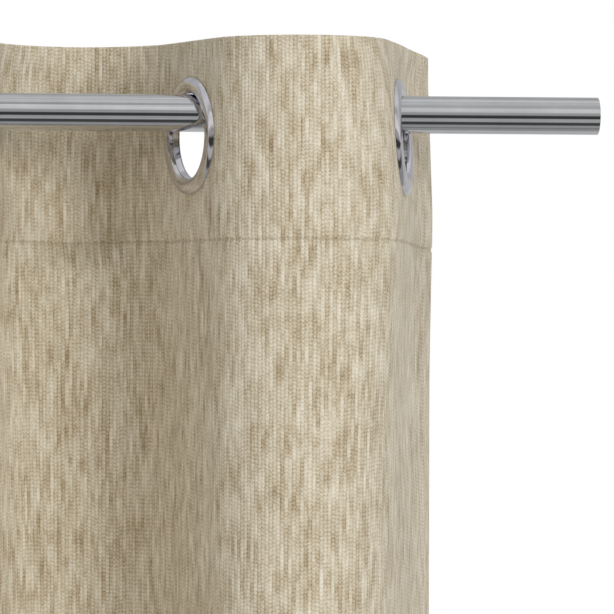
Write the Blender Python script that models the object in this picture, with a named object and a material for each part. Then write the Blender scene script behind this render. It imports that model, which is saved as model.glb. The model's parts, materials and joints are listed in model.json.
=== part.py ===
"""An eyelet curtain on a steel rod, held by two wall brackets, in metres with +Z up.

X runs along the rod, the room is at -Y and the wall face is y = 0. The origin is the centre of the
right bracket's plate, on the wall. The cloth hangs in S-shaped pleats, one to each eyelet. Each pleat
turns about an upright line where it meets the next one, so the row folds and opens like a bellows
and every eyelet stays on the rod.
"""

import math

import bmesh
import bpy
from mathutils import Vector

# Clearances
GAP = 0.0003  # between pieces that touch on the real object
ROD_PLAY = 0.0005  # between the rod's top and an eyelet's inner edge

# Rod
ROD_LENGTH = 1.200
ROD_DIAMETER = 0.019
ROD_WALL = 0.0010
ROD_PAST_LAST_EYELET = 0.102
PLUG_LENGTH = 0.012
PLUG_CHAMFER = 0.0006

# Curtain
EYELET_COUNT = 8
EYELET_SPACING = 0.175  # along the flat cloth
CURTAIN_DROP = 2.450
TOP_ABOVE_EYELET = 0.048  # cloth edge above the eyelet's centre
CLOTH_THICKNESS = 0.0016
PLEAT_ANGLE = math.radians(72)  # between the rod and the cloth at an eyelet
FOLD_GAP = 0.0012  # slit between two neighbouring pleats
ARC_STEPS = 5

# Eyelet: a front ring with a neck through the cloth, and a back ring that the neck snaps into
EYELET_INNER_DIAMETER = 0.043
EYELET_BAND = 0.0085
FRONT_CROWN = 0.0030
BACK_CROWN = 0.0012
NECK_WALL = 0.0012
NECK_REACH = 0.0006  # neck past the back of the cloth and its gap
RING_SEGMENTS = 20
CROWN_STEPS = 4

# Wall brackets
WALL_TO_ROD = 0.100
BRACKET_TO_EYELET = 0.023  # right bracket to the last eyelet, along the rod
LEFT_BRACKET_INSET = 0.055  # left bracket from the rod's left end
COVER_RADIUS = 0.0275
COVER_HEIGHT = 0.008
COVER_WALL = 0.0015
PLATE_THICKNESS = 0.004
STUD_RADIUS = 0.004
STUD_LENGTH = 0.014
ARM_RADIUS = 0.006
CRADLE_WALL = 0.0035
CRADLE_WIDTH = 0.012
CRADLE_BACK_LIP = 0.006  # above the rod's axis
CRADLE_FRONT_LIP = 0.003

# Fasteners
SCREW_OFFSET = 0.016  # wall screw from the plate's centre
SCREW_RADIUS = 0.0022
SCREW_LENGTH = 0.034
SCREW_HEAD_RADIUS = 0.0043
SCREW_HEAD_HEIGHT = 0.0021
THUMB_RADIUS = 0.0020
THUMB_HEAD_RADIUS = 0.0055
THUMB_HEAD_HEIGHT = 0.0040
THUMB_HEAD_DROP = 0.0030  # head below the cradle

# Derived
ROD_RADIUS = ROD_DIAMETER / 2
ROD_Y = -WALL_TO_ROD
ROD_RIGHT = BRACKET_TO_EYELET + ROD_PAST_LAST_EYELET
ROD_LEFT = ROD_RIGHT - ROD_LENGTH
EYELET_INNER = EYELET_INNER_DIAMETER / 2
EYELET_OUTER = EYELET_INNER + EYELET_BAND
EYELET_Z = -(EYELET_INNER - ROD_RADIUS - ROD_PLAY)
FLAT_HALF = EYELET_OUTER  # cloth lies flat across its eyelet
PLEAT_HALF = EYELET_SPACING / 2
ARC_RADIUS = (PLEAT_HALF - FLAT_HALF) / PLEAT_ANGLE
NECK_OUTER = EYELET_INNER + NECK_WALL
RING_FACE = CLOTH_THICKNESS / 2 + GAP
CRADLE_INNER = ROD_RADIUS + GAP
CRADLE_OUTER = CRADLE_INNER + CRADLE_WALL

CHROME = ("polished_steel", (0.62, 0.63, 0.65), 0.12, 1.0)
SATIN = ("satin_steel", (0.55, 0.55, 0.56), 0.35, 1.0)
ZINC = ("zinc_screw", (0.70, 0.70, 0.68), 0.40, 1.0)
PLASTIC = ("grey_plastic", (0.42, 0.42, 0.43), 0.55, 0.0)
CLOTH = ("beige_cloth", (0.62, 0.54, 0.40), 0.95, 0.0)


def clear_scene():
    for obj in list(bpy.data.objects):
        bpy.data.objects.remove(obj)


def material(name, colour, roughness, metallic):
    """The named material, made once."""
    found = bpy.data.materials.get(name)
    if found:
        return found
    made = bpy.data.materials.new(name)
    made.use_nodes = True
    shader = made.node_tree.nodes["Principled BSDF"]
    shader.inputs["Base Color"].default_value = (*colour, 1.0)
    shader.inputs["Roughness"].default_value = roughness
    shader.inputs["Metallic"].default_value = metallic
    return made


def turned_mesh(name, outline, segments):
    """A turned body about local Z. An outline of (radius, height) off the axis closes on itself."""
    shape = bmesh.new()
    points = [shape.verts.new((radius, 0.0, height)) for radius, height in outline]
    edges = [shape.edges.new(pair) for pair in zip(points, points[1:])]
    if outline[0][0] > 0:
        edges.append(shape.edges.new((points[-1], points[0])))
    bmesh.ops.spin(
        shape,
        geom=points + edges,
        cent=(0, 0, 0),
        axis=(0, 0, 1),
        angle=math.tau,
        steps=segments,
        use_merge=True,
    )
    return finished_mesh(name, shape)


def prism_mesh(name, outline, length):
    """The flat outline in local XY, made solid for length along local Z and centred on it."""
    shape = bmesh.new()
    face = shape.faces.new([shape.verts.new((x, y, -length / 2)) for x, y in outline])
    pushed = bmesh.ops.extrude_face_region(shape, geom=[face])["geom"]
    verts = [item for item in pushed if isinstance(item, bmesh.types.BMVert)]
    bmesh.ops.translate(shape, vec=(0, 0, length), verts=verts)
    return finished_mesh(name, shape)


def finished_mesh(name, shape):
    """The mesh of a bmesh, joined, facing out and shaded smooth between its sharp edges."""
    bmesh.ops.remove_doubles(shape, verts=shape.verts, dist=1e-6)
    bmesh.ops.recalc_face_normals(shape, faces=shape.faces)
    mesh = bpy.data.meshes.new(name)
    shape.to_mesh(mesh)
    shape.free()
    mesh.shade_smooth()
    mesh.set_sharp_from_angle(angle=math.radians(35))
    return mesh


def add_empty(name, place, parent=None):
    empty = bpy.data.objects.new(name, None)
    bpy.context.scene.collection.objects.link(empty)
    empty.empty_display_size = 0.02
    empty.parent = parent
    empty.location = place
    return empty


def add_piece(name, mesh, finish, parent, place, turn=(0, 0, 0)):
    """A piece at a place in its parent's frame."""
    if finish and not mesh.materials:
        mesh.materials.append(material(*finish))
    piece = bpy.data.objects.new(name, mesh)
    bpy.context.scene.collection.objects.link(piece)
    piece.parent = parent
    piece.location = place
    piece.rotation_euler = turn
    return piece


def cut(piece, cutter):
    """Takes a hidden helper's shape out of a piece."""
    cutter.hide_render = True
    cutter.display_type = "WIRE"
    hole = piece.modifiers.new("hole_" + cutter.name, "BOOLEAN")
    hole.operation = "DIFFERENCE"
    hole.solver = "EXACT"
    hole.object = cutter


def join(piece, helper):
    """Adds a hidden helper's shape to a piece."""
    helper.hide_render = True
    helper.display_type = "WIRE"
    union = piece.modifiers.new("join_" + helper.name, "BOOLEAN")
    union.operation = "UNION"
    union.solver = "EXACT"
    union.object = helper


def round_outline(radius, low, high):
    return [(0, low), (radius, low), (radius, high), (0, high)]


# Rod


def build_rod(base):
    """The tube, with a plug pressed flush into each end."""
    bore = ROD_RADIUS - ROD_WALL
    ends = (-ROD_LENGTH / 2, ROD_LENGTH / 2)
    outline = [(bore, ends[0]), (ROD_RADIUS, ends[0]), (ROD_RADIUS, ends[1]), (bore, ends[1])]
    middle = Vector(((ROD_LEFT + ROD_RIGHT) / 2, ROD_Y, 0))
    along = (0, math.radians(90), 0)
    add_piece("rod_tube", turned_mesh("rod_tube", outline, 24), CHROME, base, middle, along)
    radius = bore - GAP
    outline = [
        (0, 0),
        (radius, 0),
        (radius, PLUG_LENGTH - PLUG_CHAMFER),
        (radius - PLUG_CHAMFER, PLUG_LENGTH),
        (0, PLUG_LENGTH),
    ]
    mesh = turned_mesh("rod_plug", outline, 20)
    start = ROD_LENGTH / 2 - PLUG_LENGTH
    for side, name in ((-1, "left"), (1, "right")):
        place = middle + Vector((side * start, 0, 0))
        add_piece(f"rod_plug_{name}", mesh, PLASTIC, base, place, (0, side * math.radians(90), 0))


# Brackets, with local Z out of the wall


def screw_hole_outline():
    """A clearance hole through the plate, with a countersink for the screw's head."""
    radius = SCREW_RADIUS + GAP
    sink = PLATE_THICKNESS - SCREW_HEAD_HEIGHT - GAP
    mouth = SCREW_HEAD_RADIUS + GAP
    return [
        (0, -PLATE_THICKNESS),
        (radius, -PLATE_THICKNESS),
        (radius, sink),
        (mouth, PLATE_THICKNESS),
        (mouth, PLATE_THICKNESS * 1.5),
        (0, PLATE_THICKNESS * 1.5),
    ]


def build_plate(side, bracket, out):
    """The wall plate and its stud, with a countersunk hole above and below the stud."""
    radius = COVER_RADIUS - COVER_WALL - 2 * GAP
    outline = [
        (0, 0),
        (radius, 0),
        (radius, PLATE_THICKNESS),
        (STUD_RADIUS, PLATE_THICKNESS),
        (STUD_RADIUS, PLATE_THICKNESS + STUD_LENGTH),
        (0, PLATE_THICKNESS + STUD_LENGTH),
    ]
    mesh = turned_mesh(f"plate_{side}", outline, 24)
    plate = add_piece(f"plate_{side}", mesh, SATIN, bracket, (0, 0, 0), out)
    for end, height in (("top", SCREW_OFFSET), ("bottom", -SCREW_OFFSET)):
        name = f"plate_hole_{side}_{end}"
        hole = turned_mesh(name, screw_hole_outline(), 12)
        cut(plate, add_piece(name, hole, None, bracket, (0, 0, height), out))


def build_cover(side, bracket, out):
    """The dished cover over the plate and its screws."""
    inner = COVER_RADIUS - COVER_WALL
    roof = COVER_HEIGHT - COVER_WALL
    hole = ARM_RADIUS + GAP
    outline = [
        (inner, GAP),
        (COVER_RADIUS, GAP),
        (COVER_RADIUS, roof - COVER_WALL),
        (COVER_RADIUS - 2 * COVER_WALL, COVER_HEIGHT),
        (hole, COVER_HEIGHT),
        (hole, roof),
        (inner - COVER_WALL, roof),
        (inner, roof - COVER_WALL),
    ]
    mesh = turned_mesh(f"cover_{side}", outline, 24)
    add_piece(f"cover_{side}", mesh, SATIN, bracket, (0, 0, 0), out)


def build_arm(side, bracket, out):
    """The round arm, with a socket for the plate's stud at one end and the cradle's at the other."""
    start = PLATE_THICKNESS + GAP
    end = WALL_TO_ROD - CRADLE_OUTER - GAP
    socket = STUD_RADIUS + GAP
    depth = STUD_LENGTH + GAP
    outline = [
        (0, start + depth),
        (socket, start + depth),
        (socket, start),
        (ARM_RADIUS, start),
        (ARM_RADIUS, end),
        (socket, end),
        (socket, end - depth),
        (0, end - depth),
    ]
    mesh = turned_mesh(f"arm_{side}", outline, 16)
    add_piece(f"arm_{side}", mesh, SATIN, bracket, (0, 0, 0), out)


def cradle_outline():
    """The open U around the rod in (y, z) from the rod's axis, with the wall at +y."""
    steps = [math.pi * step / 8 for step in range(9)]
    outside = [(-CRADLE_OUTER * math.cos(a), -CRADLE_OUTER * math.sin(a)) for a in steps]
    inside = [(CRADLE_INNER * math.cos(a), -CRADLE_INNER * math.sin(a)) for a in steps]
    back = [(CRADLE_OUTER, CRADLE_BACK_LIP), (CRADLE_INNER, CRADLE_BACK_LIP)]
    front = [(-CRADLE_INNER, CRADLE_FRONT_LIP), (-CRADLE_OUTER, CRADLE_FRONT_LIP)]
    return outside + back + inside + front


def build_cradle(side, bracket, out):
    """The cradle, its stud into the arm and the thumb screw that clamps the rod from below."""
    rod_axis = Vector((0, ROD_Y, 0))
    mesh = prism_mesh(f"cradle_{side}", cradle_outline(), CRADLE_WIDTH)
    upright = (math.radians(90), 0, math.radians(90))
    cradle = add_piece(f"cradle_{side}", mesh, SATIN, bracket, rod_axis, upright)
    root = WALL_TO_ROD - CRADLE_OUTER - STUD_LENGTH
    stud = turned_mesh(
        f"cradle_stud_{side}",
        round_outline(STUD_RADIUS, root, WALL_TO_ROD - CRADLE_OUTER + CRADLE_WALL / 2),
        12,
    )
    join(cradle, add_piece(f"cradle_stud_{side}", stud, None, bracket, (0, 0, 0), out))
    bore = turned_mesh(
        f"cradle_bore_{side}",
        round_outline(THUMB_RADIUS + GAP, -CRADLE_OUTER * 1.5, -ROD_RADIUS / 2),
        12,
    )
    cut(cradle, add_piece(f"cradle_bore_{side}", bore, None, bracket, rod_axis))
    neck = -CRADLE_OUTER - THUMB_HEAD_DROP
    outline = [
        (0, neck - THUMB_HEAD_HEIGHT),
        (THUMB_HEAD_RADIUS, neck - THUMB_HEAD_HEIGHT),
        (THUMB_HEAD_RADIUS, neck),
        (THUMB_RADIUS, neck),
        (THUMB_RADIUS, -ROD_RADIUS - GAP),
        (0, -ROD_RADIUS - GAP),
    ]
    mesh = turned_mesh(f"thumb_screw_{side}", outline, 16)
    add_piece(f"thumb_screw_{side}", mesh, CHROME, bracket, rod_axis)


def build_wall_screws(side, bracket, out):
    """Two countersunk screws, their heads flush with the plate and their tips in the wall."""
    top = PLATE_THICKNESS - GAP
    neck = top - SCREW_HEAD_HEIGHT
    tip = top - SCREW_LENGTH
    outline = [
        (0, tip),
        (SCREW_RADIUS, tip + 2 * SCREW_RADIUS),
        (SCREW_RADIUS, neck),
        (SCREW_HEAD_RADIUS, top),
        (0, top),
    ]
    mesh = turned_mesh(f"wall_screw_{side}", outline, 12)
    for end, height in (("top", SCREW_OFFSET), ("bottom", -SCREW_OFFSET)):
        add_piece(f"wall_screw_{side}_{end}", mesh, ZINC, bracket, (0, 0, height), out)


def build_bracket(side, x, base):
    bracket = add_empty(f"bracket_{side}", (x, 0, 0), base)
    out = (math.radians(90), 0, 0)
    build_plate(side, bracket, out)
    build_cover(side, bracket, out)
    build_arm(side, bracket, out)
    build_cradle(side, bracket, out)
    build_wall_screws(side, bracket, out)


# Eyelets, with local Z out of the cloth's front


def crown(base, height, side):
    """The half-ellipse of a ring's rounded face, from its outer edge to its inner edge."""
    half_band = EYELET_BAND / 2
    middle = EYELET_INNER + half_band
    steps = [math.pi * step / CROWN_STEPS for step in range(CROWN_STEPS + 1)]
    return [(middle + half_band * math.cos(a), side * (base + height * math.sin(a))) for a in steps]


def front_ring_mesh():
    """The front ring: its crown, and the neck that passes through the cloth."""
    neck_end = -(RING_FACE + NECK_REACH)
    neck = [(EYELET_INNER, neck_end), (NECK_OUTER, neck_end), (NECK_OUTER, RING_FACE)]
    return turned_mesh("eyelet_front", crown(RING_FACE, FRONT_CROWN, 1) + neck, RING_SEGMENTS)


def back_ring_mesh():
    """The back ring, whose recess takes the neck's end."""
    seat = RING_FACE + NECK_REACH + GAP
    recess = NECK_OUTER + GAP
    inside = [(recess, -seat), (recess, -RING_FACE), (EYELET_OUTER, -RING_FACE)]
    return turned_mesh("eyelet_back", crown(seat, BACK_CROWN, -1) + inside, RING_SEGMENTS)


# Cloth


def pleat_point(along, straight):
    """(x, y, heading) on the cloth's mid-line, from its eyelet, for a pleat that runs back to the right.

    Outside the flat stretch the heading falls evenly to zero at the fold, or keeps on where the side
    is a straight margin.
    """
    side = math.copysign(1, along)
    past = abs(along) - FLAT_HALF
    if past <= 0 or straight:
        return along * math.cos(PLEAT_ANGLE), along * math.sin(PLEAT_ANGLE), PLEAT_ANGLE
    heading = PLEAT_ANGLE - past / ARC_RADIUS
    x = FLAT_HALF * math.cos(PLEAT_ANGLE) + ARC_RADIUS * (math.sin(PLEAT_ANGLE) - math.sin(heading))
    y = FLAT_HALF * math.sin(PLEAT_ANGLE) + ARC_RADIUS * (math.cos(heading) - math.cos(PLEAT_ANGLE))
    return side * x, side * y, heading


def fold_offset():
    """(x, y) from an eyelet to the fold on its right, for a pleat that runs back to the right."""
    x, y, _ = pleat_point(PLEAT_HALF, False)
    return x, y


def pleat_outline(number):
    """The pleat's cross-section, wound round its mid-line, in (x, y) from its eyelet."""
    mirror = 1 if number % 2 == 0 else -1
    first, last = number == 1, number == EYELET_COUNT
    reach = PLEAT_HALF - FOLD_GAP / 2 - FLAT_HALF
    arc = [FLAT_HALF + reach * step / ARC_STEPS for step in range(ARC_STEPS + 1)]
    left = [-PLEAT_HALF, -FLAT_HALF] if first else [-along for along in reversed(arc)]
    right = [FLAT_HALF, PLEAT_HALF] if last else arc
    sides = ([], [])
    for along in left + right:
        x, y, heading = pleat_point(along, first if along < 0 else last)
        for rim, side in zip(sides, (-1, 1)):
            off = side * CLOTH_THICKNESS / 2
            rim.append((x - off * math.sin(heading), mirror * (y + off * math.cos(heading))))
    return sides[0] + sides[1][::-1]


def build_pleat(number, axis, eyelet, rings):
    """One pleat of cloth and its eyelet, hung from the empty on its joint's axis."""
    place = eyelet - axis.matrix_world.translation
    heading = PLEAT_ANGLE if number % 2 == 0 else -PLEAT_ANGLE
    facing = (math.radians(90), 0, heading)
    mesh = prism_mesh(f"curtain_pleat_{number}", pleat_outline(number), CURTAIN_DROP)
    middle = place + Vector((0, 0, TOP_ABOVE_EYELET - CURTAIN_DROP / 2))
    cloth = add_piece(f"curtain_pleat_{number}", mesh, CLOTH, axis, middle)
    reach = 4 * CLOTH_THICKNESS
    hole = turned_mesh(
        f"eyelet_hole_{number}", round_outline(NECK_OUTER + GAP, -reach, reach), RING_SEGMENTS
    )
    cut(cloth, add_piece(f"eyelet_hole_{number}", hole, None, axis, place, facing))
    for side, ring in rings.items():
        add_piece(f"eyelet_{side}_{number}", ring, CHROME, axis, place, facing)


def build_curtain(base):
    """The pleats from right to left. The last eyelet keeps its place on the rod."""
    rings = {"front": front_ring_mesh(), "back": back_ring_mesh()}
    fold_x, fold_y = fold_offset()
    eyelet = Vector((BRACKET_TO_EYELET, ROD_Y, EYELET_Z))
    parent, axis_place = base, eyelet.copy()
    for number in range(EYELET_COUNT, 0, -1):
        local = axis_place - parent.matrix_world.translation
        axis = add_empty(f"pleat_{number}_axis", local, parent)
        bpy.context.view_layer.update()
        build_pleat(number, axis, eyelet, rings)
        mirror = 1 if number % 2 == 0 else -1
        axis_place = eyelet - Vector((fold_x, mirror * fold_y, 0))
        eyelet = eyelet - Vector((2 * fold_x, 0, 0))
        parent = axis


def build():
    clear_scene()
    base = add_empty("curtain_set", (0, 0, 0))
    build_rod(base)
    build_bracket("right", 0, base)
    build_bracket("left", ROD_LEFT + LEFT_BRACKET_INSET, base)
    build_curtain(base)


build()
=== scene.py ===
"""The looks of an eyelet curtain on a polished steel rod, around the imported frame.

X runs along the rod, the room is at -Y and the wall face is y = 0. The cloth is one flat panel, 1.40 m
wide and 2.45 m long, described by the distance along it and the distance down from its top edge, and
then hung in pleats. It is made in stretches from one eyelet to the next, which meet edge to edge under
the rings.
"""

import json
import math

import bmesh
import bpy
import numpy as np
from mathutils import Matrix, Vector


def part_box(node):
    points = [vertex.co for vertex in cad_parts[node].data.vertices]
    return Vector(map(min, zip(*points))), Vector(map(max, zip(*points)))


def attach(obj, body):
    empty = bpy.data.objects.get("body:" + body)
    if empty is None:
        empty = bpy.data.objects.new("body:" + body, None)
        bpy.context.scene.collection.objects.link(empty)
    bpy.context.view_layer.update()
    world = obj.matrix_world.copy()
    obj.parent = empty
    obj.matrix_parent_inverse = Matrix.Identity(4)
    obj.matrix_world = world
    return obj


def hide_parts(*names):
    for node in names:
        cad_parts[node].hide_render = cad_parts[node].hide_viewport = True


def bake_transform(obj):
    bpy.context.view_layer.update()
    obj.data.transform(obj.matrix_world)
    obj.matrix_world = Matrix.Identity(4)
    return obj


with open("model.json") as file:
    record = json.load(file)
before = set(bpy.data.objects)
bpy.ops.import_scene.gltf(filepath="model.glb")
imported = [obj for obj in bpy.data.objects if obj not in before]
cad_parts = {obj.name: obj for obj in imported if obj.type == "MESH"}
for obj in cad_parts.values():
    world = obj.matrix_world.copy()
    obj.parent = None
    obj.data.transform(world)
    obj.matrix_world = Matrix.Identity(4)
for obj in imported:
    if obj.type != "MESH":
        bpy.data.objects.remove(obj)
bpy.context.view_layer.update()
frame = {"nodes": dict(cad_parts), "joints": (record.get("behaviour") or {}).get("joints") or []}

# From the frame
JOINTS = {joint["name"]: Vector(joint["pos_m"]) for joint in frame["joints"]}
EYELET_COUNT = len(frame["joints"])
LAST_EYELET = JOINTS["curtain_draw"]
LAST_FOLD = JOINTS[f"fold_{EYELET_COUNT - 1}"]
HALF_PITCH = LAST_EYELET.x - LAST_FOLD.x
ROD_LOW, ROD_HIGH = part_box("rod_tube")
ROD_Y = (ROD_LOW.y + ROD_HIGH.y) / 2
ROD_Z = (ROD_LOW.z + ROD_HIGH.z) / 2
ROD_RADIUS = (ROD_HIGH.z - ROD_LOW.z) / 2
CLOTH_LOW, CLOTH_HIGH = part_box(f"curtain_pleat_{EYELET_COUNT}")
CLOTH_TOP = CLOTH_HIGH.z
DROP = CLOTH_HIGH.z - CLOTH_LOW.z
EYELET_DOWN = CLOTH_TOP - LAST_EYELET.z
RING_LOW, RING_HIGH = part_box(f"eyelet_front_{EYELET_COUNT}")
RING_OUTER = (RING_HIGH.z - RING_LOW.z) / 2

# Cloth, flat
SPACING = 0.175  # between eyelets
MARGIN = SPACING / 2  # from an eyelet to a free edge
WIDTH = EYELET_COUNT * SPACING
TOP_HEM = 0.1025
BOTTOM_HEM = 0.080
SIDE_HEM = 0.030
SEAM_IN = 0.0015  # from a hem's turned edge to its stitches
SEAM_HALF = 0.0011  # half the width of the groove that the stitches pull in
HALF_THICK = 0.0008  # of the doubled cloth
SINGLE_BACK = 0.0002  # from the middle to the back where the cloth is single
HEADER_FULLER = 0.00015  # the stiff tape in the header raises its front
SEAM_DEPTH = 0.0007
HOLE_RADIUS = 0.0255

# Cloth, hung
PLEAT_ANGLE = math.radians(72)  # between the rod and the cloth at an eyelet
FLAT_HALF = RING_OUTER  # cloth lies flat across its eyelet
RELAXED_ANGLE = math.radians(76.3)
FREE_EDGE_ANGLE = math.radians(63.4)
RELAX_FROM, RELAX_TO = 0.11, 0.60  # down the cloth, from the stiff header's shape to the free one
EVEN_TURN = math.radians(4.5)  # more than PLEAT_ANGLE at the eyelets of the pleats that run back
LAST_LEAN = math.radians(4.2)  # the last eyelet's foot stands out to the right
TROUGH_CREASE = 0.022  # the stiff header's back folds past the free cloth's
STIFF = 0.033  # from an eyelet's middle, the cloth that its ring holds in one plane


# Shapes of metal parts


def finished_mesh(name, shape, sharp=35):
    """The mesh of a bmesh, facing out and shaded smooth between its sharp edges."""
    bmesh.ops.remove_doubles(shape, verts=shape.verts, dist=1e-7)
    bmesh.ops.recalc_face_normals(shape, faces=shape.faces)
    mesh = bpy.data.meshes.new(name)
    shape.to_mesh(mesh)
    shape.free()
    mesh.shade_smooth()
    mesh.set_sharp_from_angle(angle=math.radians(sharp))
    return mesh


def turned_mesh(name, outline, segments=96):
    """A turned body about local Z. An outline of (radius, height) off the axis closes on itself."""
    shape = bmesh.new()
    points = [shape.verts.new((radius, 0.0, height)) for radius, height in outline]
    edges = [shape.edges.new(pair) for pair in zip(points, points[1:])]
    if outline[0][0] > 0:
        edges.append(shape.edges.new((points[-1], points[0])))
    bmesh.ops.spin(
        shape,
        geom=points + edges,
        cent=(0, 0, 0),
        axis=(0, 0, 1),
        angle=math.tau,
        steps=segments,
        use_merge=True,
    )
    return finished_mesh(name, shape)


def add_piece(name, mesh, finish, place=(0, 0, 0), turn=(0, 0, 0)):
    """A piece with its finish, at a place in the frame."""
    if not mesh.materials:
        mesh.materials.append(finish)
    piece = bpy.data.objects.new(name, mesh)
    bpy.context.scene.collection.objects.link(piece)
    piece.location = place
    piece.rotation_euler = turn
    return piece


def quarter(centre, radius, start, end, steps=5):
    """Points of an arc in (radius, height) about a centre, between two angles in degrees."""
    angles = [math.radians(start + (end - start) * step / steps) for step in range(steps + 1)]
    return [(centre[0] + radius * math.cos(a), centre[1] + radius * math.sin(a)) for a in angles]


# Materials


class Tree:
    """The node tree of a new material, with its Principled shader."""

    def __init__(self, name):
        self.material = bpy.data.materials.new(name)
        self.material.use_nodes = True
        self.nodes = self.material.node_tree.nodes
        self.links = self.material.node_tree.links
        self.shader = self.nodes["Principled BSDF"]

    def add(self, kind, inputs=None, **settings):
        """A node's outputs, its inputs given by name or number as values or as other outputs."""
        made = self.nodes.new("ShaderNode" + kind)
        for name, value in settings.items():
            setattr(made, name, value)
        for key, value in (inputs or {}).items():
            self.set(made.inputs[key], value)
        return made.outputs

    def set(self, socket, value):
        if isinstance(value, bpy.types.NodeSocket):
            self.links.new(value, socket)
        else:
            socket.default_value = value

    def math(self, operation, first, second=0.0, third=0.0):
        return self.add("Math", {0: first, 1: second, 2: third}, operation=operation)[0]

    def noise(self, place, scale, detail=2.0, roughness=0.5):
        inputs = {"Vector": place, "Scale": scale, "Detail": detail, "Roughness": roughness}
        return self.add("TexNoise", inputs)["Fac"]

    def ramp(self, factor, stops):
        """A colour ramp from (position, colour) stops."""
        made = self.nodes.new("ShaderNodeValToRGB")
        fill_ramp(made.color_ramp, stops)
        self.links.new(factor, made.inputs[0])
        return made.outputs[0]

    def finish(self, inputs):
        for name, value in inputs.items():
            self.set(self.shader.inputs[name], value)
        return self.material


def fill_ramp(ramp, stops):
    """Sets a ramp's stops, which are in order. It starts with one at each end."""
    for element, (position, colour) in ((ramp.elements[0], stops[0]), (ramp.elements[1], stops[-1])):
        element.position = position
        element.color = (*colour, 1.0)
    for position, colour in stops[1:-1]:
        ramp.elements.new(position).color = (*colour, 1.0)


RIB = 0.00195  # between the ribs of the weave
STROKE = 0.00198  # between the twists along a rib
RIB_SWAY = 0.0006  # how far a rib wanders sideways
CHEVRON = 0.7  # of a twist, from the middle of a rib to its side, by which the twists slant
STRAND_STEP = 7.31  # keeps the noise of neighbouring strands apart
SEAM_PAINTED_SHADE = 0.10  # how much darker the cloth is painted along the top hem's stitched groove: painted shade
TONE_DOWN = 0.97  # brings the sum of the shares into the ramp
CLOTH_STOPS = (
    (0.12, (0.262, 0.196, 0.112)),
    (0.34, (0.405, 0.330, 0.219)),
    (0.52, (0.530, 0.461, 0.342)),
    (0.68, (0.630, 0.568, 0.447)),
    (0.88, (0.735, 0.684, 0.570)),
)


def cloth_material():
    """A ribbed slub weave: upright ribs of twisted yarn, each with its own light and ochre lengths."""
    tree = Tree("slub_cloth")
    flat = tree.add("UVMap", uv_map="flat_cloth")[0]
    split = tree.add("SeparateXYZ", {0: flat})
    along, down = split[0], split[1]
    bends = tree.add("VectorMath", {0: flat, 1: (70, 18, 1)}, operation="MULTIPLY")[0]
    ribs = tree.math("MULTIPLY_ADD", tree.noise(bends, 1.0), RIB_SWAY, along)
    ribs = tree.math("DIVIDE", ribs, RIB)
    rib = tree.math("FLOOR", ribs)
    within = tree.math("FRACT", ribs)
    arch = tree.math("SINE", tree.math("MULTIPLY", within, math.pi))

    def streaks(width, length, detail):
        """Lengths of lighter and darker yarn, each as wide as this many ribs."""
        strand = tree.math("FLOOR", tree.math("DIVIDE", ribs, width))
        apart = tree.math("MULTIPLY", strand, STRAND_STEP)
        place = tree.add("CombineXYZ", {0: apart, 1: tree.math("DIVIDE", down, length)})
        return tree.noise(place[0], 1.0, detail, 0.6)

    def cloud(stretch, detail):
        """Soft patches: stretch says how finely they repeat along the cloth and down it."""
        place = tree.add("VectorMath", {0: flat, 1: (*stretch, 1)}, operation="MULTIPLY")[0]
        return tree.noise(place, 1.0, detail, 0.55)

    yarn = streaks(1.0, 0.019, 3.0)
    strand = streaks(2.4, 0.030, 2.0)
    broad = cloud((520, 46), 2.0)
    patch = cloud((30, 9), 2.0)
    fleck = cloud((980, 1050), 1.0)
    start = tree.add("TexWhiteNoise", {"W": rib}, noise_dimensions="1D")["Value"]
    chevron = tree.math("ABSOLUTE", tree.math("SUBTRACT", within, 0.5))
    chevron = tree.math("MULTIPLY", chevron, CHEVRON)
    row = tree.math("ADD", tree.math("DIVIDE", down, STROKE), tree.math("ADD", start, chevron))
    loop = tree.math("SINE", tree.math("MULTIPLY", row, math.tau))
    # painted shade: the cloth's colour darkens along the top hem's stitched groove
    seam = tree.math("ABSOLUTE", tree.math("SUBTRACT", down, TOP_HEM - SEAM_IN))
    seam = tree.add("MapRange", {0: seam, 1: 0.0003, 2: 0.0012, 3: SEAM_PAINTED_SHADE, 4: 0.0})[0]
    shares = (
        (yarn, 1.20),
        (strand, 0.42),
        (broad, 0.40),
        (patch, 0.22),
        (fleck, 0.60),
        # painted shade: the arch darkens the colour in the grooves between the ribs
        (arch, 0.15),
        (loop, 0.075),
    )
    tone = tree.math("MULTIPLY", seam, -1.0)
    for value, share in shares:
        tone = tree.math("MULTIPLY_ADD", value, share, tone)
    tone = tree.math("SUBTRACT", tone, TONE_DOWN)
    colour = tree.ramp(tone, CLOTH_STOPS)
    height = tree.math("MULTIPLY_ADD", loop, 0.30, arch)
    height = tree.math("MULTIPLY_ADD", fleck, 0.8, height)
    bump = tree.add("Bump", {"Strength": 0.5, "Distance": 0.0004, "Height": height})[0]
    return tree.finish(
        {
            "Base Color": colour,
            "Roughness": 0.92,
            "Sheen Weight": 0.18,
            "Sheen Roughness": 0.45,
            "Specular IOR Level": 0.15,
            "Normal": bump,
        }
    )


def drawn_metal(name, colour, roughness, stretch, depth, dullest):
    """Metal with fine lines: stretch says how finely the noise repeats along each local axis."""
    tree = Tree(name)
    place = tree.add("TexCoord")["Object"]
    lines_place = tree.add("VectorMath", {0: place, 1: stretch}, operation="MULTIPLY")[0]
    lines = tree.noise(lines_place, 1.0, 4.0, 0.6)
    cloud = tree.noise(place, 60.0, 3.0, 0.6)
    rough = tree.math("MULTIPLY_ADD", lines, roughness, roughness * 0.35)
    rough = tree.math("MULTIPLY_ADD", cloud, roughness * 0.4, rough)
    dull = [channel * dullest for channel in colour]
    worn = tree.math("MULTIPLY_ADD", lines, 0.85, tree.math("MULTIPLY", cloud, 0.15))
    tint = tree.ramp(worn, ((0.36, dull), (0.58, colour)))
    bump = tree.add("Bump", {"Strength": 0.25, "Distance": depth, "Height": lines})[0]
    return tree.finish({"Base Color": tint, "Metallic": 1.0, "Roughness": rough, "Normal": bump})


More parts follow.
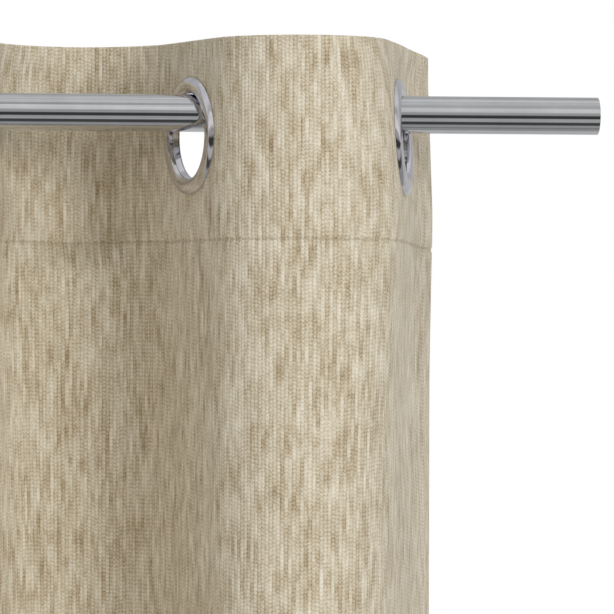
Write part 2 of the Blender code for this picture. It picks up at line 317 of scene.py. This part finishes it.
def moulded_plastic(name, colour):
    tree = Tree(name)
    place = tree.add("TexCoord")["Object"]
    grain = tree.noise(place, 2600.0, 2.0, 0.6)
    cloud = tree.noise(place, 120.0, 3.0, 0.5)
    dull = [channel * 0.8 for channel in colour]
    tint = tree.ramp(cloud, ((0.3, dull), (0.7, colour)))
    rough = tree.math("MULTIPLY_ADD", grain, 0.2, 0.42)
    bump = tree.add("Bump", {"Strength": 0.3, "Distance": 0.0001, "Height": grain})[0]
    return tree.finish({"Base Color": tint, "Roughness": rough, "Normal": bump})


STEEL = drawn_metal("polished_steel", (0.72, 0.73, 0.75), 0.04, (2, 1300, 1300), 0.00001, 0.62)
CHROME = drawn_metal("eyelet_chrome", (0.72, 0.71, 0.75), 0.05, (90, 90, 90), 0.00001, 0.8)
SATIN = drawn_metal("satin_steel", (0.60, 0.60, 0.61), 0.30, (2400, 2400, 60), 0.00002, 0.86)
SATIN_FACE = drawn_metal("satin_steel_face", (0.60, 0.60, 0.61), 0.30, (60, 2400, 2400), 0.00002, 0.86)
ZINC = drawn_metal("zinc_plate", (0.70, 0.69, 0.64), 0.40, (400, 400, 900), 0.00003, 0.86)
PLASTIC = moulded_plastic("grey_plastic", (0.30, 0.30, 0.31))
CLOTH = cloth_material()


# Rod


def build_rod():
    """The tube with its drawn surface, and the plug flush in each end."""
    wall, edge = 0.0010, 0.00025
    bore = ROD_RADIUS - wall
    half = (ROD_HIGH.x - ROD_LOW.x) / 2
    straight = half - 4 * edge  # keeps the round edges from bending the long faces' normals
    outline = [(bore, half), (bore, straight), (bore, -straight), (bore, -half)]
    outline += quarter((ROD_RADIUS - edge, -half + edge), edge, -90, 0)
    outline += [(ROD_RADIUS, -straight), (ROD_RADIUS, straight)]
    outline += quarter((ROD_RADIUS - edge, half - edge), edge, 0, 90)
    middle = ((ROD_LOW.x + ROD_HIGH.x) / 2, ROD_Y, ROD_Z)
    mesh = turned_mesh("rod", outline, 128)
    mesh.transform(Matrix.Translation(middle) @ Matrix.Rotation(math.pi / 2, 4, "Y"))
    tube = add_piece("rod", mesh, STEEL)
    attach(tube, "rod_and_brackets")
    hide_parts("rod_tube")
    plug_length, chamfer = 0.012, 0.0006
    radius = bore - 0.0003
    outline = [(0, 0), (radius, 0), (radius, plug_length - chamfer)]
    outline += quarter((radius - chamfer, plug_length - chamfer), chamfer, 0, 90)
    dish = plug_length - 0.0004
    outline += [(radius * 0.55, plug_length), (radius * 0.5, dish), (0, dish)]
    for name, side, x in (("left", -1, ROD_LOW.x), ("right", 1, ROD_HIGH.x)):
        place = (x - side * plug_length, ROD_Y, ROD_Z)
        mesh = turned_mesh("rod_end", outline, 96)
        turn = (0, side * math.pi / 2, 0)
        plug = add_piece(f"rod_end_{name}", mesh, PLASTIC, place, turn)
        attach(plug, "rod_and_brackets")
        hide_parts(f"rod_plug_{name}")


# Eyelets, with local Z out of the cloth's front


RING_INNER = 0.0215


def ring_outline(crown, base, side, steps=20):
    """The rounded face of a ring as a half-ellipse, from the outer edge to the inner edge."""
    middle, half = (RING_INNER + RING_OUTER) / 2, (RING_OUTER - RING_INNER) / 2
    angles = [math.pi * step / steps for step in range(steps + 1)]
    return [(middle + half * math.cos(a), side * (base + crown * math.sin(a))) for a in angles]


def build_eyelets():
    """A front ring with a neck through the cloth, and the back ring that the neck goes into."""
    neck_outer, neck_end, seat = 0.0227, -0.0017, 0.0011
    front = ring_outline(0.0030, seat, 1)
    front += [(RING_INNER, neck_end), (neck_outer, neck_end), (neck_outer, seat)]
    socket, back_base = 0.0230, 0.0020
    back = ring_outline(0.0012, back_base, -1)
    back += [(socket, -back_base), (socket, -seat), (RING_OUTER, -seat)]
    meshes = {
        "front": turned_mesh("ring_front", front, 128),
        "back": turned_mesh("ring_back", back, 128),
    }
    for number in range(1, EYELET_COUNT + 1):
        heading = PLEAT_ANGLE + EVEN_TURN if number % 2 == 0 else -PLEAT_ANGLE
        lean = LAST_LEAN * math.sin(heading) if number == EYELET_COUNT else 0
        upright = math.pi / 2 - lean
        place, turn = eyelet_place(number), (upright, 0, heading)
        for side, mesh in meshes.items():
            ring = add_piece(f"ring_{side}_{number}", mesh, CHROME, place, turn)
            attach(ring, f"pleat_{number}")
            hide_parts(f"eyelet_{side}_{number}")


def eyelet_place(number):
    """The middle of an eyelet, on the rod's axis and as far down as its hole, counted from the left."""
    return Vector((LAST_EYELET.x - 2 * HALF_PITCH * (EYELET_COUNT - number), ROD_Y, LAST_EYELET.z))


# The hung cloth


def smooth(value, low, high):
    """0 below low, 1 above high, and an even S between them."""
    share = np.clip((value - low) / (high - low), 0, 1)
    return share * share * (3 - 2 * share)


def run_of(heading):
    """(x, y) reached at each step along half a pleat that has these headings."""
    step = MARGIN / (len(heading) - 1)
    runs = []
    for part in (np.cos(heading), np.sin(heading)):
        runs.append(np.concatenate([[0.0], np.cumsum((part[1:] + part[:-1]) / 2) * step]))
    return runs


STEPS = np.linspace(0, MARGIN, 401)
HEADINGS = {
    ("inner", "header"): PLEAT_ANGLE * np.clip((MARGIN - STEPS) / (MARGIN - FLAT_HALF), 0, 1),
    ("inner", "free"): RELAXED_ANGLE * np.cos(np.pi / 2 * STEPS / MARGIN),
    ("edge", "header"): np.full(len(STEPS), PLEAT_ANGLE),
    ("edge", "free"): RELAXED_ANGLE - (RELAXED_ANGLE - FREE_EDGE_ANGLE) * (STEPS / MARGIN) ** 2,
}
RUNS = {key: run_of(heading) for key, heading in HEADINGS.items()}


def pleat_run(past, at_edge, relax):
    """(x, y) from the eyelet for a pleat that runs back to the right, past being along the cloth."""
    size, side = np.abs(past), np.sign(past)
    found = []
    for axis in (0, 1):
        for place in ("inner", "edge"):
            header = np.interp(size, STEPS, RUNS[place, "header"][axis])
            free = np.interp(size, STEPS, RUNS[place, "free"][axis])
            if place == "edge":
                scale = 1.0
            else:
                scale = RUNS[place, "header"][axis][-1] / RUNS[place, "free"][axis][-1]
            found.append(side * (header + relax * (free * scale - header)))
    return np.where(at_edge, found[1], found[0]), np.where(at_edge, found[3], found[2])


def last_lean(past, down):
    """How far the cloth round the last eyelet stands out to the right, with its leaning ring."""
    below = down - EYELET_DOWN
    lean = math.tan(LAST_LEAN) * np.clip(below, -STIFF, STIFF) * (1 - smooth(below, STIFF, 0.130))
    left = 1 - smooth(-past, STIFF, MARGIN)
    right = 1 - 0.5 * smooth(past, STIFF, MARGIN)
    return lean * np.where(past < 0, left, right)


def cloth_middle(along, down):
    """Points on the middle of the hung cloth."""
    index = np.clip(np.rint((along - MARGIN) / SPACING), 0, EYELET_COUNT - 1)
    past = along - MARGIN - index * SPACING
    at_edge = ((index == 0) & (past < 0)) | ((index == EYELET_COUNT - 1) & (past > 0))
    mirror = np.where(index % 2 == 0, -1.0, 1.0)
    x, y = pleat_run(past, at_edge, smooth(down, RELAX_FROM, RELAX_TO))
    y = y * mirror
    grown = smooth(down, 0.15, 1.7)
    fold = (along / SPACING) * math.pi
    swell = 0.05 * np.sin(along * 13.1 + 1.3 * down) + 0.035 * np.sin(along * 29.0 - 2.1 * down + 1.0)
    y = y * (1 + grown * swell)
    trough = np.clip(np.cos(fold), 0, 1) ** 12
    creased = (0.2 + 0.8 * smooth(down, 0.01, 0.07)) * (1 - smooth(down, 0.094, 0.118))
    y = y + TROUGH_CREASE * trough * creased * ~at_edge
    turned = past * math.tan(EVEN_TURN) * (1 - smooth(np.abs(past), STIFF, MARGIN)) * (index % 2)
    turned = turned * (0.3 + 0.7 * smooth(down, 0.0, 0.018)) * (1 - smooth(down, 0.09, 0.30))
    x = x - turned * math.sin(PLEAT_ANGLE)
    y = y + turned * math.cos(PLEAT_ANGLE)
    x = x + last_lean(past, down) * (index == EYELET_COUNT - 1)
    sideways = 0.0045 * np.sin(along * 8.3 + 1.5 * down + 0.6)
    sideways = sideways + 0.0025 * np.sin(along * 21.0 - 2.4 * down)
    x = x + grown * sideways
    ripple = np.sin(along * 118 + 3.0 * np.sin(down * 4.1 + along * 9))
    ripple = ripple * np.sin(down * 2.3 + 1.1 + along * 3)
    y = y + 0.0005 * ripple * smooth(down, 0.10, 0.30)
    outward = np.clip(np.abs(along - WIDTH / 2) - (WIDTH / 2 - MARGIN), 0, MARGIN) / MARGIN
    droop = 0.0028 * outward**2 * (1 - smooth(down, 0.0, 0.4) * 0.5)
    hang = 0.0015 * grown * np.sin(along * 17.0 + 0.4)
    x = LAST_EYELET.x - 2 * HALF_PITCH * (EYELET_COUNT - 1 - index) + x
    z = CLOTH_TOP - down * (1 - 0.0008 * grown) - droop + hang
    return np.stack([x, ROD_Y + y, z], axis=-1)


def cloth_faces(along, down):
    """The cloth's middle and the direction out of its front."""
    small = 0.0004
    middle = cloth_middle(along, down)
    right = cloth_middle(along + small, down) - cloth_middle(along - small, down)
    lower = cloth_middle(along, down + small) - cloth_middle(along, down - small)
    out = np.cross(lower, right)
    out /= np.linalg.norm(out, axis=-1, keepdims=True)
    return middle, out


def edge_round(along, down):
    """How full the cloth's thickness is, from its four edges inward."""
    nearest = np.minimum(np.minimum(along, WIDTH - along), np.minimum(down, DROP - down))
    share = np.clip(nearest / HALF_THICK, 0, 1)
    return 0.3 + 0.7 * np.sqrt(1 - (1 - share) ** 2)


def seam_groove(along, down):
    """Depth of the stitched lines of the hems, from 0 to 1."""
    depth = np.exp(-(((down - TOP_HEM + SEAM_IN) / SEAM_HALF) ** 2))
    depth += np.exp(-(((DROP - BOTTOM_HEM + SEAM_IN - down) / SEAM_HALF) ** 2))
    return depth


def front_rise(along, down):
    """From the middle of the cloth to its front, less where stitches pull it in."""
    header = 1 - smooth(down, TOP_HEM - 0.0005, TOP_HEM + 0.004)
    rise = HALF_THICK * edge_round(along, down) + HEADER_FULLER * header
    return rise - SEAM_DEPTH * seam_groove(along, down)


def back_rise(along, down):
    """From the middle of the cloth to its back, more where a hem doubles it."""
    step = 0.0005
    side = np.minimum(along, WIDTH - along)
    doubled = 1 - smooth(down, TOP_HEM, TOP_HEM + step)
    doubled = np.maximum(doubled, 1 - smooth(DROP - down, BOTTOM_HEM, BOTTOM_HEM + step))
    doubled = np.maximum(doubled, 1 - smooth(side, SIDE_HEM, SIDE_HEM + step))
    rise = SINGLE_BACK + (HALF_THICK - SINGLE_BACK) * doubled
    return rise * edge_round(along, down)


def filled(marks, size):
    """The marks with even steps of at most size between them."""
    values = [marks[0]]
    for low, high in zip(marks, marks[1:]):
        count = max(1, math.ceil((high - low) / size - 1e-6))
        values += [low + (high - low) * step / count for step in range(1, count + 1)]
    return np.array(values)


EDGE_MARKS = [0, 0.00012, 0.0004, 0.0008, 0.0016, 0.004]


def cloth_rows():
    """Distances down the cloth of its rows, fine at the edges, the hems and the eyelets."""
    fine = [step * 0.0005 for step in range(9)]
    seam = [TOP_HEM - 0.005] + [TOP_HEM - 0.0035 + step for step in fine] + [TOP_HEM + 0.0025]
    top = filled(EDGE_MARKS + seam + [TOP_HEM + 0.006, 0.130], 0.0044)
    hem = DROP - BOTTOM_HEM
    turned = [hem - 0.006, hem - 0.002] + [hem - 0.0005 + step for step in fine] + [hem + 0.006]
    low = filled(turned + [DROP - mark for mark in reversed(EDGE_MARKS)], 0.008)
    middle = filled([0.130, turned[0]], 0.010)
    return np.concatenate([top, middle[1:-1], low])


def piece_columns(first, last):
    """Distances along the cloth of a stretch's columns, finer at a free edge and at its hem."""
    if first == 0:
        hem = [SIDE_HEM - 0.001, SIDE_HEM, SIDE_HEM + 0.0005, SIDE_HEM + 0.002]
        return filled(EDGE_MARKS + hem + [MARGIN], 0.0044)
    if last == WIDTH:
        return WIDTH - piece_columns(0, MARGIN)[::-1]
    return np.linspace(first, last, 41)


def cloth_mesh(name, first, last):
    """A closed stretch of the cloth with its share of the eyelet holes."""
    rows, columns = cloth_rows(), piece_columns(first, last)
    down, along = np.meshgrid(rows, columns, indexing="ij")
    along, down = along.copy(), down.copy()
    kept = np.ones((len(rows) - 1, len(columns) - 1), bool)
    for centre in (first, last):
        if centre in (0, WIDTH):
            continue
        cell_along = (columns[1:] + columns[:-1]) / 2 - centre
        cell_down = (rows[1:] + rows[:-1]) / 2 - EYELET_DOWN
        hole = np.hypot(*np.meshgrid(cell_down, cell_along, indexing="ij")) < HOLE_RADIUS
        kept &= ~hole
        snap_to_hole(along, down, hole, centre)
    middle, out = cloth_faces(along, down)
    front = middle + out * front_rise(along, down)[..., None]
    back = middle - out * back_rise(along, down)[..., None]
    points = np.concatenate([front.reshape(-1, 3), back.reshape(-1, 3)])
    flat = np.stack([along.ravel(), down.ravel()], axis=1)
    return closed_sheet(name, points, np.concatenate([flat, flat]), kept)


def snap_to_hole(along, down, hole, centre):
    """Moves the grid's points on the rim of a cut hole onto its circle."""
    touched = np.zeros(along.shape, int)
    total = np.zeros(along.shape, int)
    for row in (0, 1):
        for column in (0, 1):
            area = np.s_[row : row + hole.shape[0], column : column + hole.shape[1]]
            touched[area] += hole
            total[area] += 1
    rim = (touched > 0) & (touched < total)
    side, fall = along[rim] - centre, down[rim] - EYELET_DOWN
    size = np.hypot(side, fall)
    along[rim] = centre + side / size * HOLE_RADIUS
    down[rim] = EYELET_DOWN + fall / size * HOLE_RADIUS


def closed_sheet(name, points, flat, kept):
    """Front and back of a grid's kept cells, joined by walls along its edges and round its holes."""
    rows, columns = kept.shape
    wide = columns + 1
    count = (rows + 1) * wide
    cells = np.argwhere(kept)
    corner = cells[:, 0] * wide + cells[:, 1]
    front = np.stack([corner, corner + wide, corner + wide + 1, corner + 1], axis=1)
    edges = np.concatenate([front[:, [side, (side + 1) % 4]] for side in range(4)])
    key = edges[:, 0] * count + edges[:, 1]
    other = edges[:, 1] * count + edges[:, 0]
    rim = edges[~np.isin(key, other)]
    walls = np.stack([rim[:, 1], rim[:, 0], rim[:, 0] + count, rim[:, 1] + count], axis=1)
    faces = np.concatenate([front, front[:, ::-1] + count, walls])
    used, packed = np.unique(faces, return_inverse=True)
    faces = packed.reshape(faces.shape)
    mesh = bpy.data.meshes.new(name)
    mesh.from_pydata(points[used].tolist(), [], faces.tolist())
    layer = mesh.uv_layers.new(name="flat_cloth")
    layer.uv.foreach_set("vector", flat[used][faces.ravel()].astype(np.float32).ravel())
    mesh.shade_smooth()
    mesh.set_sharp_from_angle(angle=math.radians(60))
    return mesh


def build_cloth():
    """The stretches of cloth from the left free edge to the right one."""
    names = [f"pleat_{number}" for number in range(1, EYELET_COUNT + 1)]
    eyelets = [MARGIN + SPACING * index for index in range(EYELET_COUNT)]
    lines = [0, *eyelets, WIDTH]
    for index, (first, last) in enumerate(zip(lines, lines[1:])):
        name = f"cloth_{index + 1}"
        piece = add_piece(name, cloth_mesh(name, first, last), CLOTH)
        name = f"stitches_{index + 1}"
        stitches = add_piece(name, stitch_mesh(name, first, last), THREAD)
        for soft in (piece, stitches):
            if first == 0:
                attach(soft, names[0])
            elif last == WIDTH:
                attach(soft, names[-1])
            else:
                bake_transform(soft)
        if index < EYELET_COUNT:
            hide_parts(f"curtain_pleat_{index + 1}")


# Stitches

STITCH = 0.0034  # length of one
STITCH_PITCH = 0.0040
THREAD_RADIUS = 0.00026
SIDES = 6  # of a thread's cross-section
STITCH_RINGS = (  # (share of the length from the middle, share of the radius, sunk into the cloth)
    (-0.5, 0.35, 0.0006),
    (-0.36, 0.9, 0.0001),
    (0.0, 1.0, -0.0001),
    (0.36, 0.9, 0.0001),
    (0.5, 0.35, 0.0006),
)


def thread_material():
    """Spun thread, a shade darker than the cloth, with its plies across it."""
    tree = Tree("hem_thread")
    flat = tree.add("UVMap", uv_map="flat_cloth")[0]
    wave = {"Vector": flat, "Scale": 900.0, "Distortion": 2.0}
    plies = tree.add("TexWave", wave, bands_direction="DIAGONAL")["Fac"]
    fuzz = tree.noise(flat, 4000.0, 2.0, 0.6)
    tone = tree.math("MULTIPLY_ADD", plies, 0.5, tree.math("MULTIPLY", fuzz, 0.5))
    tint = tree.ramp(tone, ((0.2, (0.34, 0.28, 0.19)), (0.8, (0.60, 0.53, 0.41))))
    bump = tree.add("Bump", {"Strength": 0.4, "Distance": 0.0001, "Height": tone})[0]
    return tree.finish({"Base Color": tint, "Roughness": 0.8, "Sheen Weight": 0.1, "Normal": bump})


THREAD = thread_material()


def stitch_row(first, last, down):
    """Points of a row of stitches, as rings along each, and the flat places they lie at."""
    count = round((last - first) / STITCH_PITCH)
    middle = first + (last - first) * (np.arange(count) + 0.5) / count
    share, thickness, sunk = np.array(STITCH_RINGS).T
    radius = THREAD_RADIUS * thickness[None, :, None, None]
    along = middle[:, None] + share * STITCH
    down = np.full(along.shape, down)
    cloth, out = cloth_faces(along, down)
    ahead = cloth_middle(along + 0.0002, down) - cloth_middle(along - 0.0002, down)
    across = np.cross(out, ahead)
    across /= np.linalg.norm(across, axis=-1, keepdims=True)
    core = cloth + out * (front_rise(along, down) - sunk)[..., None]
    turn = (np.arange(SIDES) * math.tau / SIDES)[:, None]
    ring = np.cos(turn) * out[:, :, None] + np.sin(turn) * across[:, :, None]
    flat = np.stack([along, down], axis=-1)[:, :, None] + np.zeros((SIDES, 1))
    return (core[:, :, None] + radius * ring).reshape(-1, 3), flat.reshape(-1, 2)


def stitch_mesh(name, first, last):
    """The stitches of both hems along a stretch of the cloth, as closed pieces of thread."""
    hems = (TOP_HEM - SEAM_IN, DROP - BOTTOM_HEM + SEAM_IN)
    rows = [stitch_row(first, last, down) for down in hems]
    points = np.concatenate([row[0] for row in rows])
    flat = np.concatenate([row[1] for row in rows])
    stitch_faces = []
    for ring in range(len(STITCH_RINGS) - 1):
        for corner in range(SIDES):
            after = (corner + 1) % SIDES
            stitch_faces.append([ring * SIDES + corner, ring * SIDES + after])
            stitch_faces[-1] += [(ring + 1) * SIDES + after, (ring + 1) * SIDES + corner]
    per_stitch = len(STITCH_RINGS) * SIDES
    stitch_faces.append(list(range(SIDES - 1, -1, -1)))
    stitch_faces.append(list(range(per_stitch - SIDES, per_stitch)))
    faces = []
    for start in range(0, len(points), per_stitch):
        faces += [[corner + start for corner in face] for face in stitch_faces]
    mesh = bpy.data.meshes.new(name)
    mesh.from_pydata(points.tolist(), [], faces)
    layer = mesh.uv_layers.new(name="flat_cloth")
    corners = np.concatenate(faces)
    layer.uv.foreach_set("vector", flat[corners].astype(np.float32).ravel())
    shape = bmesh.new()
    shape.from_mesh(mesh)
    bmesh.ops.recalc_face_normals(shape, faces=shape.faces)
    shape.to_mesh(mesh)
    shape.free()
    mesh.shade_smooth()
    return mesh


# Brackets


def add_bracket_piece(name, mesh, finish, place, turn=(0, 0, 0)):
    """A piece of a bracket, in place of the CAD node that has its name."""
    piece = add_piece(f"{name}_fine", mesh, finish, place, turn)
    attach(piece, "rod_and_brackets")
    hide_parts(name)


def cover_mesh(radius, base, height):
    """The dished cover, with a turned groove round its face and a soft edge at the arm's hole."""
    wall, soft, hole, groove = 0.0015, 0.0005, 0.0063, 0.0190
    inner, roof = radius - wall, height - wall
    outline = [(inner, base), (radius - 0.0002, base), (radius, base + 0.0002)]
    outline += quarter((radius - 2 * wall, height - 2 * wall), 2 * wall, 0, 90, 10)
    outline += [(groove + 0.0006, height), (groove + 0.0003, height - 0.0003)]
    outline += [(groove - 0.0003, height - 0.0003), (groove - 0.0006, height)]
    outline += quarter((hole + soft, height - soft), soft, 90, 180)
    outline += [(hole, roof), (inner - wall, roof), (inner, roof - wall)]
    return turned_mesh("cover", outline)


def arm_mesh(start, end):
    """The round arm, with a socket for a stud in each end."""
    radius, socket, depth, soft = 0.0060, 0.0043, 0.0143, 0.0004
    outline = [(0, start + depth), (socket, start + depth), (socket, start), (radius - soft, start)]
    outline += quarter((radius - soft, start + soft), soft, -90, 0)
    outline += [(radius, start + 3 * soft), (radius, end - 3 * soft)]
    outline += quarter((radius - soft, end - soft), soft, 0, 90)
    outline += [(socket, end), (socket, end - depth), (0, end - depth)]
    return turned_mesh("arm", outline, 64)


def thumb_screw_mesh(length):
    """The screw with its knurled head at the foot and its thread above."""
    head, height, shank, pitch, soft = 0.0055, 0.0040, 0.0020, 0.0007, 0.0004
    outline = [(0, 0.0005), (head * 0.55, 0.0005), (head * 0.62, 0.0), (head - soft, 0.0)]
    outline += quarter((head - soft, soft), soft, -90, 0)
    outline += quarter((head - soft, height - soft), soft, 0, 90)
    outline += [(shank, height)]
    for turn in range(1, int((length - height) / pitch)):
        outline += [(shank - 0.0003, height + (turn - 0.5) * pitch), (shank, height + turn * pitch)]
    outline += [(shank, length - pitch), (shank * 0.6, length), (0, length)]
    mesh = turned_mesh("thumb_screw", outline, 144)
    for vertex in mesh.vertices:
        if math.hypot(vertex.co.x, vertex.co.y) > head - 1.2 * soft:
            flute = math.cos(24 * math.atan2(vertex.co.y, vertex.co.x))
            inward = 1 - 0.05 * (0.5 - 0.5 * flute)
            vertex.co.x *= inward
            vertex.co.y *= inward
    return mesh


def build_brackets():
    """Finer covers, arms and thumb screws, and metals on the bracket nodes that stay."""
    out = (math.pi / 2, 0, 0)
    for side in ("left", "right"):
        low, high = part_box(f"cover_{side}")
        x = (low.x + high.x) / 2
        cover = cover_mesh((high.x - low.x) / 2, -high.y, -low.y)
        add_bracket_piece(f"cover_{side}", cover, SATIN_FACE, (x, 0, 0), out)
        low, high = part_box(f"arm_{side}")
        add_bracket_piece(f"arm_{side}", arm_mesh(-high.y, -low.y), SATIN, (x, 0, 0), out)
        low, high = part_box(f"thumb_screw_{side}")
        screw = thumb_screw_mesh(high.z - low.z)
        add_bracket_piece(f"thumb_screw_{side}", screw, STEEL, (x, ROD_Y, low.z))
    finishes = {
        "plate": (SATIN_FACE, "satin_steel"),
        "cradle": (SATIN, "satin_steel"),
        "wall": (ZINC, "zinc_screw"),
    }
    for name, node in frame["nodes"].items():
        part = name.split("_", 1)[0]
        if part in finishes:
            finish, slot = finishes[part]
            node.data.materials.clear()
            node.data.materials.append(finish)


# Studio

# What shines sees of the studio, as (from, to, brightness). The angles are in degrees about the rod's
# axis: level to the room is 0 and straight up is 90.
CARDS = (
    (-180, -110, 0.60),  # wall and far floor
    (-110, -64, 0.35),  # near floor
    (-64, -44, 0.07),  # dark skirt under the strip light
    (-44, -22, 0.50),  # low strip light
    (-22, -2, 0.05),  # black flag in front of the camera
    (-2, 16, 0.40),  # room
    (16, 44, 0.85),  # front soft box
    (44, 60, 0.55),  # between the soft boxes
    (60, 115, 0.70),  # overhead soft box
    (115, 180, 0.50),  # ceiling
)
CARD_FADE = 7  # degrees over which one card turns into the next
AMBIENT = 0.345


def build_world():
    """A white studio. What shines sees the soft cards by their angle about the rod."""
    world = bpy.data.worlds.new("studio")
    bpy.context.scene.world = world
    world.use_nodes = True
    world.cycles.sampling_method = "NONE"
    nodes, links = world.node_tree.nodes, world.node_tree.links
    nodes.clear()

    def add(kind, inputs=None, **settings):
        made = nodes.new("ShaderNode" + kind)
        for name, value in settings.items():
            setattr(made, name, value)
        for key, value in (inputs or {}).items():
            if isinstance(value, bpy.types.NodeSocket):
                links.new(value, made.inputs[key])
            else:
                made.inputs[key].default_value = value
        return made

    way = add("SeparateXYZ", {0: add("TexCoord").outputs["Generated"]})
    toward = add("Math", {0: way.outputs[1], 1: -1.0}, operation="MULTIPLY").outputs[0]
    angle = add("Math", {0: way.outputs[2], 1: toward}, operation="ARCTAN2").outputs[0]
    share = add("Math", {0: angle, 1: 1 / math.tau, 2: 0.5}, operation="MULTIPLY_ADD").outputs[0]
    stops = []
    for low, high, brightness in CARDS:
        for degrees in (max(low + CARD_FADE / 2, -180), min(high - CARD_FADE / 2, 180)):
            stops.append(((degrees + 180) / 360, (brightness,) * 3))
    cards = add("ValToRGB", {0: share})
    fill_ramp(cards.color_ramp, stops)
    ray = add("LightPath")
    glossy = add("Background", {0: cards.outputs[0], 1: 1.0}).outputs[0]
    ambient = add("Background", {0: (0.97, 0.99, 1.03, 1), 1: AMBIENT}).outputs[0]
    white = add("Background", {0: (1, 1, 1, 1), 1: 1.0}).outputs[0]
    lit = add("MixShader", {0: ray.outputs["Is Glossy Ray"], 1: ambient, 2: glossy}).outputs[0]
    seen = add("MixShader", {0: ray.outputs["Is Camera Ray"], 1: lit, 2: white}).outputs[0]
    add("OutputWorld", {0: seen})


def add_sun(name, azimuth, elevation, strength, spread=24):
    """A soft light from a direction: azimuth from the room's middle towards +X, in degrees."""
    lamp = bpy.data.lights.new(name, "SUN")
    lamp.energy = strength
    lamp.angle = math.radians(spread)
    lamp.color = (1.0, 0.993, 0.980)
    sun = bpy.data.objects.new(name, lamp)
    bpy.context.scene.collection.objects.link(sun)
    a, e = math.radians(azimuth), math.radians(elevation)
    toward = Vector((math.sin(a) * math.cos(e), -math.cos(a) * math.cos(e), math.sin(e)))
    sun.rotation_euler = toward.to_track_quat("Z", "Y").to_euler()
    sun.visible_glossy = False


FLOOR_BELOW = 0.004  # from the lowest hem to the floor


def build_floor():
    """A plain pale floor just under the curtain."""
    mesh = bpy.data.meshes.new("floor")
    shape = bmesh.new()
    bmesh.ops.create_grid(shape, x_segments=1, y_segments=1, size=30)
    shape.to_mesh(mesh)
    shape.free()
    tree = Tree("pale_floor")
    cloud = tree.noise(tree.add("TexCoord")["Object"], 3.0, 4.0, 0.6)
    tint = tree.ramp(cloud, ((0.3, (0.82, 0.81, 0.79)), (0.7, (0.86, 0.85, 0.83))))
    mesh.materials.append(tree.finish({"Base Color": tint, "Roughness": 0.8}))
    floor = bpy.data.objects.new("floor", mesh)
    bpy.context.scene.collection.objects.link(floor)
    floor.location = (0, 0, CLOTH_LOW.z - FLOOR_BELOW)
    floor.visible_glossy = False  # the studio's dark cards stand between it and what shines


def build_camera():
    """A long lens in the room, left of the last eyelet and turned towards the rod's right end."""
    lens = bpy.data.cameras.new("camera")
    lens.lens = 298.8
    lens.sensor_width = 36
    lens.clip_start = 0.1
    lens.clip_end = 200
    camera = bpy.data.objects.new("camera", lens)
    bpy.context.scene.collection.objects.link(camera)
    camera.location = (-0.32945, -2.66205, -0.11832)
    camera.rotation_mode = "QUATERNION"
    yaw, pitch, roll = (math.radians(value) for value in (6.799, 0.457, 0.138))
    forward = Vector((math.sin(yaw) * math.cos(pitch), math.cos(yaw) * math.cos(pitch), math.sin(pitch)))
    level = Vector((math.cos(yaw), -math.sin(yaw), 0))
    upright = level.cross(forward)
    right = level * math.cos(roll) + upright * math.sin(roll)
    up = upright * math.cos(roll) - level * math.sin(roll)
    turn = Matrix((right, up, -forward)).transposed()
    camera.rotation_quaternion = turn.to_quaternion()
    bpy.context.scene.camera = camera


build_camera()
build_world()
add_sun("key", 24, 12, 1.30)
add_sun("high", 40, 45, 0.60)
add_sun("fill", -48, 12, 0.61)
add_sun("back", 180, 35, 1.6, 60)
build_floor()
build_rod()
build_eyelets()
build_cloth()
build_brackets()
bpy.context.scene.view_settings.view_transform = "Standard"
